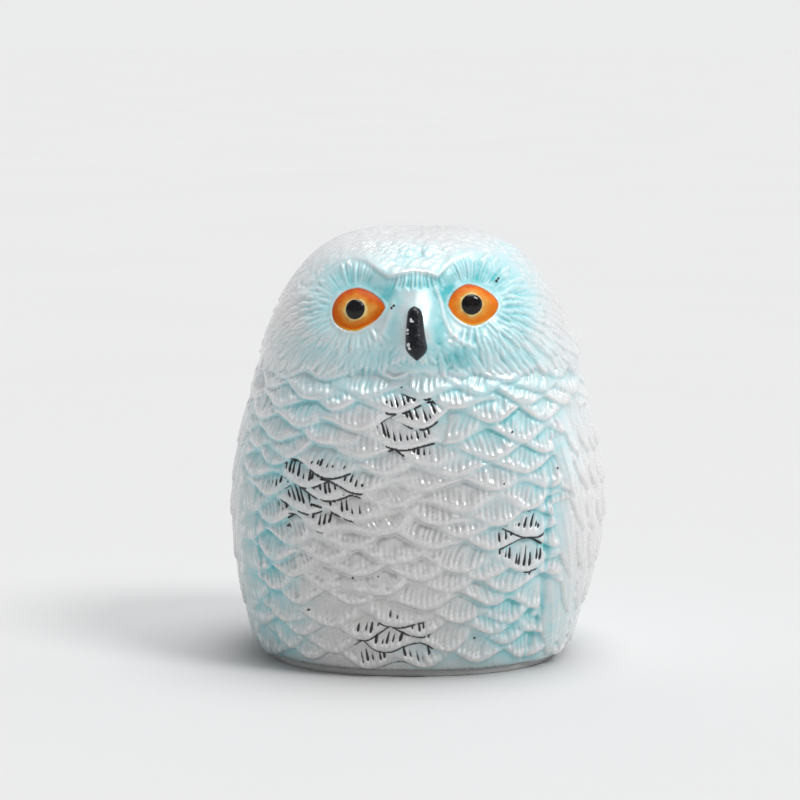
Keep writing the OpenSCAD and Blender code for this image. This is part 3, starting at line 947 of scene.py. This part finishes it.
# %% Helpers for material nodes
def new_paint(name):
    """An empty node material and its principled shader."""
    paint = bpy.data.materials.new(name)
    paint.use_nodes = True
    tree = paint.node_tree
    tree.nodes.clear()
    surface = tree.nodes.new("ShaderNodeBsdfPrincipled")
    output = tree.nodes.new("ShaderNodeOutputMaterial")
    tree.links.new(surface.outputs["BSDF"], output.inputs["Surface"])
    return paint, tree, surface


def wire(value, socket):
    """Plugs a node's output, or writes a plain value, into a socket."""
    if isinstance(value, bpy.types.NodeSocket):
        socket.id_data.links.new(value, socket)
    else:
        socket.default_value = value


def mask(tree, name):
    """Reads one of the numbers that the mesh carries for every point."""
    node = tree.nodes.new("ShaderNodeAttribute")
    node.attribute_name = name
    return node.outputs["Fac"]


def math_step(kind, a, b, clamp=False):
    """A sum of two values, at least one of which is a node's output."""
    node = (a if isinstance(a, bpy.types.NodeSocket) else b).id_data.nodes.new("ShaderNodeMath")
    node.operation = kind
    node.use_clamp = clamp
    wire(a, node.inputs[0])
    wire(b, node.inputs[1])
    return node.outputs[0]


times = partial(math_step, "MULTIPLY")
plus = partial(math_step, "ADD")
minus = partial(math_step, "SUBTRACT")
larger = partial(math_step, "MAXIMUM")


def blend_colour(share, below, above):
    """The colour below where share is 0 and the one above where it is 1."""
    node = share.id_data.nodes.new("ShaderNodeMix")
    node.data_type = "RGBA"
    wire(share, node.inputs[0])
    wire(below, node.inputs[6])
    wire(above, node.inputs[7])
    return node.outputs[2]


def grain(tree, per_mm, detail=3.0, rough=0.55, stretch=(1, 1, 1)):
    """Noise over the piece's own place in space, with about per_mm lumps to the millimetre."""
    place = tree.nodes.new("ShaderNodeTexCoord")
    scale = tree.nodes.new("ShaderNodeMapping")
    scale.inputs["Scale"].default_value = [1000 * per_mm * s for s in stretch]
    tree.links.new(place.outputs["Object"], scale.inputs["Vector"])
    noise = tree.nodes.new("ShaderNodeTexNoise")
    noise.inputs["Scale"].default_value = 1.0
    noise.inputs["Detail"].default_value = detail
    noise.inputs["Roughness"].default_value = rough
    tree.links.new(scale.outputs["Vector"], noise.inputs["Vector"])
    return noise.outputs["Fac"]


def stretch_range(value, low, high, to_low=0.0, to_high=1.0):
    """Maps low to high onto to_low to to_high, and holds the ends."""
    node = value.id_data.nodes.new("ShaderNodeMapRange")
    wire(value, node.inputs["Value"])
    node.inputs["From Min"].default_value = low
    node.inputs["From Max"].default_value = high
    node.inputs["To Min"].default_value = to_low
    node.inputs["To Max"].default_value = to_high
    return node.outputs["Result"]


def bumps(surface, heights):
    """Chains small bumps of (height output, distance in mm, strength) into the surface's normal."""
    socket = surface.inputs["Normal"]
    for height, mm, strength in reversed(heights):
        node = surface.id_data.nodes.new("ShaderNodeBump")
        node.inputs["Distance"].default_value = mm * MM
        node.inputs["Strength"].default_value = strength
        wire(height, node.inputs["Height"])
        wire(node.outputs["Normal"], socket)
        socket = node.inputs["Normal"]


def gloss(surface, specular, coat, coat_rough):
    """Sets how strongly the paint itself shines, and how thick and how rough the varnish over it is."""
    surface.inputs["Specular IOR Level"].default_value = specular
    surface.inputs["Coat Weight"].default_value = coat
    surface.inputs["Coat Roughness"].default_value = coat_rough


# %% Pearl lacquer, airbrush and brush
pearl, tree, surface = new_paint("pearl_lacquer")
lumps = grain(tree, 0.35, 4)
fine = grain(tree, 1.6, 3)
broad = grain(tree, 0.06, 2)
hollow_now = larger(mask(tree, "hollow"), 0.0)
raised_now = larger(times(mask(tree, "hollow"), -1.0), 0.0)
in_lines = larger(mask(tree, "seam"), times(mask(tree, "cut"), 0.85))

white = blend_colour(stretch_range(broad, 0.35, 0.65), (0.80, 0.785, 0.775, 1), (0.83, 0.835, 0.845, 1))
# painted shade: the pearl mixed towards grey at the lower left and the bottom
pearl_in_painted_shade = blend_colour(mask(tree, "painted_shade_low_left"), white, (0.60, 0.59, 0.58, 1))
# painted shade: grey in the seams and barb cuts
painted_groove_shade = blend_colour(times(in_lines, 0.2), pearl_in_painted_shade, (0.42, 0.41, 0.40, 1))

settle = plus(plus(times(in_lines, 0.16), times(hollow_now, 0.25)), 1.05)
gap_depth = plus(times(mask(tree, "band"), 0.28), times(mask(tree, "deep"), 0.3))
wash_share = plus(times(mask(tree, "gaps"), gap_depth), times(mask(tree, "gaps"), 0.40))
teal_share = larger(times(mask(tree, "teal"), settle), wash_share)
teal_share = times(teal_share, stretch_range(lumps, 0.3, 0.7, 0.7, 1.25))
teal_share = minus(teal_share, times(raised_now, 0.15), clamp=True)
teal_coat = blend_colour(stretch_range(teal_share, 0.35, 0.85), (0.06, 0.70, 0.78, 1), (0.09, 0.51, 0.55, 1))
tinted = blend_colour(teal_share, painted_groove_shade, teal_coat)

# white dry brush and painted highlight on raised lines, lips and barb ends
raised_white_and_highlight = larger(mask(tree, "rim"), times(raised_now, 0.35))
white_and_highlight_share = times(raised_white_and_highlight, stretch_range(fine, 0.3, 0.6, 0.5, 1.0), clamp=True)
with_white_and_highlight = blend_colour(times(white_and_highlight_share, 0.9), tinted, (0.9, 0.9, 0.9, 1))
ink_share = stretch_range(plus(mask(tree, "ink"), times(lumps, 0.35)), 0.42, 0.62)
wire(blend_colour(ink_share, with_white_and_highlight, (0.030, 0.028, 0.030, 1)), surface.inputs["Base Color"])

wire(minus(0.28, times(teal_share, 0.5), clamp=True), surface.inputs["Metallic"])
wire(plus(stretch_range(lumps, 0.3, 0.7, 0.23, 0.31), times(teal_share, 0.15)), surface.inputs["Roughness"])
wire(minus(0.45, times(teal_share, 0.4), clamp=True), surface.inputs["Specular IOR Level"])
wire(minus(0.5, times(teal_share, 0.55), clamp=True), surface.inputs["Coat Weight"])
surface.inputs["Coat Roughness"].default_value = 0.12
bumps(surface, [(lumps, 0.08, 0.2)])
owl_body.data.materials.append(pearl)
print("the lacquer has", len(tree.nodes), "nodes")

# %% [markdown]
# ## The eyes
# Each eye is a small glued-in dome of painted resin with the outline of its lids. It is laid out as rings
# round the pupil, so that the paint can follow the rings: dark orange at the lid, lighter inside, a pale
# yellow ring at the pupil. The dome's edge follows the lid, and under it a short plug fills the pocket.

# %% Shape an eye
def on_eye(side, reach, angle, high):
    """Points given round the pupil's axis, at a height above the middle of the eye, in mm."""
    middle, across, up, outwards = eye_frame(side)
    a, b = reach * np.cos(angle) - gaze, reach * np.sin(angle)
    high = np.zeros_like(a) + high
    return middle + a[:, None] * across + b[:, None] * up + high[:, None] * outwards


def lid_height(side, angle):
    """How high the bare skin lies along the eye's outwards axis, below one point of the lid."""
    outwards = eye_frame(side)[3]
    reach = eye_radius(side, angle)
    high = np.zeros_like(reach)
    for _ in range(4):
        place = on_eye(side, reach, angle, high)
        high += (place[:, 1] - face_y(place[:, 0], place[:, 2])) / -outwards[1] * 0.9
    return high


def make_eye(side, name, node):
    """A dome with a plug under it."""
    spokes, rings = ((144, 44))
    dome_high, plug_low = 1.5, -2.05
    angle = np.linspace(0, 2 * np.pi, spokes, endpoint=False)
    edge_high = lid_height(side, angle) + 0.12
    reach = eye_radius(side, angle) + 0.16
    layers = []
    for share in np.linspace(0.02, 1, rings):
        dome = (1 - share ** 2) ** 0.72
        high = edge_high * (1 - dome) * share ** 0.5 + dome_high * dome + 0.03 * np.sin(5 * angle + 9 * share)
        layers.append((share, reach * share, high))
    for drop, wider in ((0.12, 0.04), (0.6, 0.04), (1.3, 0), (9, 0)):
        layers.append((1.05, reach + wider, np.maximum(edge_high - drop, plug_low)))
    tips = on_eye(side, 0, np.zeros(2), np.array([dome_high, plug_low]))
    piece = loft(name, [on_eye(side, r, angle, high) for _, r, high in layers], *tips)
    share_of = [share for share, _, _ in layers]
    add_number(piece, "share", np.append(np.repeat(share_of, spokes), [0.0, 1.05]))
    add_number(piece, "reach", np.append(np.concatenate([r for _, r, _ in layers]), [0, 0]))
    add_number(piece, "low_side", 0.5 - 0.5 * np.append(np.tile(np.sin(angle), len(layers)), [0, 0]))
    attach(piece, "root")
    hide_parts(node)
    print(name, "lid heights", np.round([edge_high.min(), edge_high.max()], 2), "mm")
    return piece


right_iris = make_eye(-1, "right_iris", "right_eye")
left_iris = make_eye(1, "left_iris", "left_eye")

# %% [markdown]
# ## The irises' paint
# The paint was put on by hand in thin coats, so no ring is quite round: orange streaks run inwards and the
# yellow shines through them. A coarse noise pushes the rings about, and a fine one leaves pale specks.

# %% Iris paint
iris_paints = []
for name, piece, inner, outer, dark_rim in (
        ("iris_paint_right", right_iris,
         (0.76, 0.33, 0.06, 1), (0.64, 0.125, 0.004, 1), (0.50, 0.060, 0.003, 1)),
        ("iris_paint_left", left_iris,
         (0.80, 0.36, 0.065, 1), (0.78, 0.20, 0.010, 1), (0.64, 0.10, 0.004, 1))):
    iris, tree, surface = new_paint(name)
    mottle = grain(tree, 0.55, 4, 0.6)
    speck = grain(tree, 2.2, 3, 0.6)
    uneven = minus(mottle, 0.5)
    share = mask(tree, "share")
    low_side = mask(tree, "low_side")
    pushed = plus(share, times(uneven, 0.65))
    body = blend_colour(stretch_range(pushed, 0.5, 0.78), inner, outer)
    rimmed = blend_colour(times(stretch_range(pushed, 0.80, 0.96), minus(1.0, low_side)), body, dark_rim)
    gold = times(stretch_range(share, 0.88, 0.96), stretch_range(low_side, 0.7, 0.95))
    golden = blend_colour(times(gold, 0.75), rimmed, (0.86, 0.50, 0.07, 1))
    near_pupil = plus(mask(tree, "reach"), times(uneven, 1.6))
    ringed = blend_colour(stretch_range(near_pupil, 2.75, 2.45), golden, (0.86, 0.66, 0.28, 1))
    specked = blend_colour(stretch_range(speck, 0.62, 0.75, 0, 0.35), ringed, (0.86, 0.60, 0.25, 1))
    wire(specked, surface.inputs["Base Color"])
    wire(stretch_range(mottle, 0.3, 0.7, 0.35, 0.5), surface.inputs["Roughness"])
    gloss(surface, 0.12, 0.04, 0.1)
    bumps(surface, [(mottle, 0.08, 0.5), (speck, 0.03, 0.5)])
    piece.data.materials.append(iris)
    iris_paints.append(iris)
print("iris paints:", [paint.name for paint in iris_paints])

# %% [markdown]
# ## Pupils and beak
# The pupils are drops of black gloss that stand a little above the irises. A drop pulls itself into a cap
# with a rolled edge, so its profile is turned like a lathe's, and then pushed slightly out of round. The
# beak is a tapered peg with a blunt faceted point. Sections are lofted along its axis, and its bevels come
# from the sections' own shape.

# %% Turn the pupils
def make_pupil(side, name, node):
    """A flattened drop, out of round by a hair."""
    angle = np.linspace(0, 2 * np.pi, 72, endpoint=False)
    wobble = 1 + 0.02 * np.sin(2 * angle + side) + 0.012 * np.sin(3 * angle + 1)
    size = 2.17 if side < 0 else 2.3
    back, top = 0.85, 2.28
    profile = [(size * math.sin(t), 1.42 + 0.86 * math.cos(t) ** 0.9) for t in np.linspace(0.06, 1.45, 16)]
    profile += [(size, 1.45), (size * 0.99, 1.2), (size * 0.97, back)]
    tips = on_eye(side, 0, np.zeros(2), np.array([top, back]))
    piece = loft(name, [on_eye(side, r * wobble, angle, high) for r, high in profile], *tips)
    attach(piece, "root")
    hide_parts(node)
    return piece


right_bead = make_pupil(-1, "right_pupil_bead", "right_pupil")
left_bead = make_pupil(1, "left_pupil_bead", "left_pupil")
print("pupils", [round(bead.dimensions.x / MM, 2) for bead in (right_bead, left_bead)], "mm wide")

# %% Loft the beak
beak_l, beak_sink, beak_lean = 12.0, 0.7, math.radians(14)
beak_z = eye_z - 0.41 * beak_l
beak_middle = np.array([face_x, float(face_y(face_x, beak_z)) + beak_sink, beak_z])
beak_up = np.array([0.0, math.sin(beak_lean), math.cos(beak_lean)])
beak_front = np.array([0.0, -math.cos(beak_lean), math.sin(beak_lean)])
stations = np.concatenate([np.linspace(0, 0.1, 7)[:-1], np.linspace(0.1, 1, 40)])
half_wide = np.interp(stations, (0, 0.02, 0.05, 0.1, 0.18, 0.35, 0.6, 0.76, 0.82, 0.90, 0.97, 1.0),
                      (0.12, 0.72, 1.15, 1.5, 1.72, 1.95, 2.28, 2.42, 2.3, 1.55, 0.6, 0.12))
proud = np.interp(stations, (0, 0.03, 0.1, 0.3, 0.6, 0.8, 0.92, 1.0),
                  (0.15, 0.75, 1.3, 1.65, 2.2, 2.35, 1.7, 0.3))
smooth = np.array([0.25, 0.5, 0.25])
for _ in range(2):
    half_wide[1:-1] = np.convolve(half_wide, smooth, "valid")
    proud[1:-1] = np.convolve(proud, smooth, "valid")
beak_spokes = 56
around_beak = np.linspace(0, 2 * np.pi, beak_spokes, endpoint=False)
square = 2.35
section = (np.abs(np.cos(around_beak)) ** square + np.abs(np.sin(around_beak)) ** square) ** (-1 / square)
layers = []
for t, w, h in zip(stations, half_wide, proud):
    lean_side = 0.55 * (t - 0.4) + 0.06 * math.sin(9 * t)
    a = section * w * np.cos(around_beak) * (1 - 0.12 * np.clip(np.sin(around_beak), 0, 1))
    b = section * np.where(np.sin(around_beak) > 0, h, 1.4 * min(w, 1.6)) * np.sin(around_beak)
    layers.append(beak_middle + (a + lean_side)[:, None] * np.array([1.0, 0, 0]) + b[:, None] * beak_front
                  + beak_up * beak_l * (0.5 - t))
beak_piece = loft("beak_peg", layers, layers[0].mean(0), layers[-1].mean(0))
along_beak = np.append(np.repeat(stations, beak_spokes), [0, 1])
side_of_beak = np.append(np.tile(np.cos(around_beak), len(stations)), [0, 0])
front_of_beak = np.append(np.tile(np.sin(around_beak), len(stations)), [0, 0])
worn = np.zeros(len(along_beak))
for t, side, size in ((0.27, -0.55, 0.05), (0.45, -0.85, 0.035), (0.52, -0.8, 0.02), (0.73, -0.75, 0.05),
                      (0.8, -0.7, 0.03), (0.3, -0.35, 0.025)):
    chip = bell((along_beak - t) / size) * bell((side_of_beak - side) / 0.2)
    worn = np.maximum(worn, chip * (front_of_beak > 0))
add_number(beak_piece, "worn", worn)
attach(beak_piece, "root")
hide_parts("beak")
beak_size = beak_piece.dimensions / MM
print("beak", round(beak_size.z, 2), "mm tall,", round(beak_size.x, 2), "mm wide")

# %% Black gloss for pupils and beak
black, tree, surface = new_paint("black_gloss")
lumps = grain(tree, 0.8, 3)
fine = grain(tree, 3.0, 3)
shade = blend_colour(stretch_range(lumps, 0.4, 0.65), (0.004, 0.004, 0.005, 1), (0.014, 0.012, 0.013, 1))
wire(shade, surface.inputs["Base Color"])
wire(stretch_range(fine, 0.3, 0.7, 0.10, 0.18), surface.inputs["Roughness"])
gloss(surface, 0.25, 0.2, 0.05)
bumps(surface, [(lumps, 0.06, 0.4)])
for bead in (right_bead, left_bead):
    bead.data.materials.append(black)

horn, tree, surface = new_paint("black_beak_paint")
lumps = grain(tree, 0.5, 3)
fine = grain(tree, 2.0, 4, 0.65)
shade = blend_colour(stretch_range(fine, 0.45, 0.7), (0.006, 0.007, 0.009, 1), (0.022, 0.028, 0.034, 1))
chipped = stretch_range(plus(mask(tree, "worn"), times(fine, 0.8)), 0.95, 1.02)
wire(blend_colour(chipped, shade, (0.78, 0.80, 0.82, 1)), surface.inputs["Base Color"])
wire(stretch_range(fine, 0.3, 0.7, 0.2, 0.42), surface.inputs["Roughness"])
gloss(surface, 0.3, 0.1, 0.12)
bumps(surface, [(lumps, 0.25, 0.5), (fine, 0.06, 0.5)])
beak_piece.data.materials.append(horn)
print("black finishes:", black.name, "and", horn.name)

# %% [markdown]
# ## Base plate and felt
# The core is closed by a plate of fibreboard, which stays as the CAD made it and only gets its brown,
# fibrous finish. A felt is glued under it. It is cut from sheet with a blade, so its edge is a little fuzzy
# and its faces are not quite flat. It is a real sheet here, one and a half millimetres thick, in the
# outline of the foot drawn in a little.

# %% Cut the felt
spokes = 160
angle = np.linspace(0, 2 * np.pi, spokes, endpoint=False)
felt_half = (felt_high - felt_low)[:2] / 2
felt_middle = (felt_high + felt_low)[:2] / 2
outline = ((np.abs(np.cos(angle)) / felt_half[0]) ** square_n
           + (np.abs(np.sin(angle)) / felt_half[1]) ** square_n)
felt_reach = outline ** (-1 / square_n) + chance.normal(0, 0.03, spokes)


def felt_ring(share, z, inset=0.0):
    """The felt's outline, shrunk to a share and drawn in, at height z."""
    r = (felt_reach - inset) * share
    ripple = 0.03 * np.sin(7 * angle + 20 * share)
    return np.stack([felt_middle[0] + r * np.cos(angle), felt_middle[1] + r * np.sin(angle),
                     z + ripple * (z > 0)], 1)


layers = [felt_ring(share, felt_t - 0.04) for share in (0.1, 0.3, 0.5, 0.7, 0.88, 0.97)]
edge_steps = ((felt_t - 0.05, 0.25), (felt_t - 0.25, 0.05), (felt_t / 2, 0.0), (0.25, 0.05), (0.05, 0.3))
layers += [felt_ring(1, z, inset) for z, inset in edge_steps]
layers += [felt_ring(share, 0.0) for share in (0.97, 0.88, 0.7, 0.5, 0.3, 0.1)]
felt = loft("felt_sheet", layers, [*felt_middle, felt_t - 0.04], [*felt_middle, 0.0])
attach(felt, "root")
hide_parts("felt_pad")

# %% Felt and fibreboard finishes
wool, tree, surface = new_paint("felt_wool")
strand = grain(tree, 1.4, 5, 0.7, (1, 1, 3))
tuft = grain(tree, 0.25, 3)
shade = blend_colour(strand, (0.38, 0.38, 0.37, 1), (0.62, 0.62, 0.60, 1))
shade = blend_colour(stretch_range(tuft, 0.3, 0.7, 0, 0.4), shade, (0.5, 0.5, 0.48, 1))
wire(shade, surface.inputs["Base Color"])
surface.inputs["Roughness"].default_value = 0.95
surface.inputs["Sheen Weight"].default_value = 0.4
surface.inputs["Sheen Roughness"].default_value = 0.5
bumps(surface, [(strand, 0.25, 0.8), (tuft, 0.2, 0.4)])
felt.data.materials.append(wool)

board, tree, surface = new_paint("fibreboard")
fibre = grain(tree, 0.9, 6, 0.7, (1, 0.35, 3))
wire(blend_colour(fibre, (0.15, 0.085, 0.042, 1), (0.42, 0.28, 0.16, 1)), surface.inputs["Base Color"])
wire(stretch_range(fibre, 0.3, 0.7, 0.6, 0.85), surface.inputs["Roughness"])
bumps(surface, [(fibre, 0.12, 0.7)])
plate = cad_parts["base_plate"]
plate.data.materials.clear()
plate.data.materials.append(board)
print("finishes:", [paint.name for paint in (pearl, black, horn, wool, board)])

# %% [markdown]
# ## Floor, light and camera
# The owl stands on a plain pale floor, and the sky fades into it like a studio sweep. A soft lamp from the
# upper right is the key, as beside a window. A broader one overhead gives the lacquer's sheen something
# bright to mirror, and a weak one grazes the relief from the side, so the lower left stays darker. The
# camera looks slightly down from the front.

# %% Floor and world
bpy.ops.mesh.primitive_plane_add(size=80, location=(0, 0, 0))
floor = bpy.context.object
floor.name = "studio_floor"
cloth, tree, surface = new_paint("studio_floor_paint")
soft = grain(tree, 0.004, 2)
wire(blend_colour(soft, (0.65, 0.65, 0.65, 1), (0.68, 0.68, 0.68, 1)), surface.inputs["Base Color"])
surface.inputs["Roughness"].default_value = 0.9
floor.data.materials.append(cloth)
world = bpy.data.worlds.new("studio")
bpy.context.scene.world = world
world.use_nodes = True
sky = world.node_tree
direction = sky.nodes.new("ShaderNodeTexCoord")
split = sky.nodes.new("ShaderNodeSeparateXYZ")
sky.links.new(direction.outputs["Generated"], split.inputs[0])
behind = stretch_range(split.outputs["Y"], -0.2, 0.5)
high = blend_colour(behind, (0.20, 0.205, 0.215, 1), (0.62, 0.62, 0.63, 1))
haze = stretch_range(split.outputs["Z"], 0.04, 0.22)
lowest = stretch_range(split.outputs["Z"], 0.035, 0.065)
mist = blend_colour(lowest, (0.833, 0.836, 0.841, 1), (0.74, 0.74, 0.74, 1))
wire(blend_colour(haze, mist, high), sky.nodes["Background"].inputs["Color"])
print("sky of", len(sky.nodes), "nodes")


# %% Lamps
def far_lamp(name, towards, strength, soft_degrees):
    """Light from one direction, as from a large lamp far away. towards points from the owl to the lamp."""
    light = bpy.data.lights.new(name, "SUN")
    light.energy = strength
    light.angle = math.radians(soft_degrees)
    lamp = bpy.data.objects.new(name, light)
    lamp.rotation_euler = Vector(towards).to_track_quat("Z", "Y").to_euler()
    bpy.context.scene.collection.objects.link(lamp)


far_lamp("key", (0.62, -0.42, 0.82), 1.25, 18)
far_lamp("top", (0.15, 0.02, 0.95), 1.8, 40)
far_lamp("side", (0.95, 0.05, 0.25), 0.2, 30)

# %% Camera
camera_data = bpy.data.cameras.new("camera")
camera_data.sensor_width = 36
camera_data.lens = 125.75
camera_away = 0.65
camera = bpy.data.objects.new("camera", camera_data)
bpy.context.scene.collection.objects.link(camera)
bpy.context.scene.camera = camera
elevation = math.radians(8.5)
aim = Vector((0, 0, 0.04727))
camera_up = Vector((0, math.sin(elevation), math.cos(elevation)))
camera.location = aim + camera_away * Vector((0, -math.cos(elevation), math.sin(elevation)))
look = (aim - camera.location).normalized() - Vector((1, 0, 0)) * 0.00465 + camera_up * 0.01736
camera.rotation_mode = "QUATERNION"
camera.rotation_quaternion = look.to_track_quat("-Z", "Y")
camera_data.clip_start, camera_data.clip_end = 0.01, 20
bpy.context.scene.view_settings.view_transform = "Standard"

# %% Finish
bpy.context.view_layer.update()
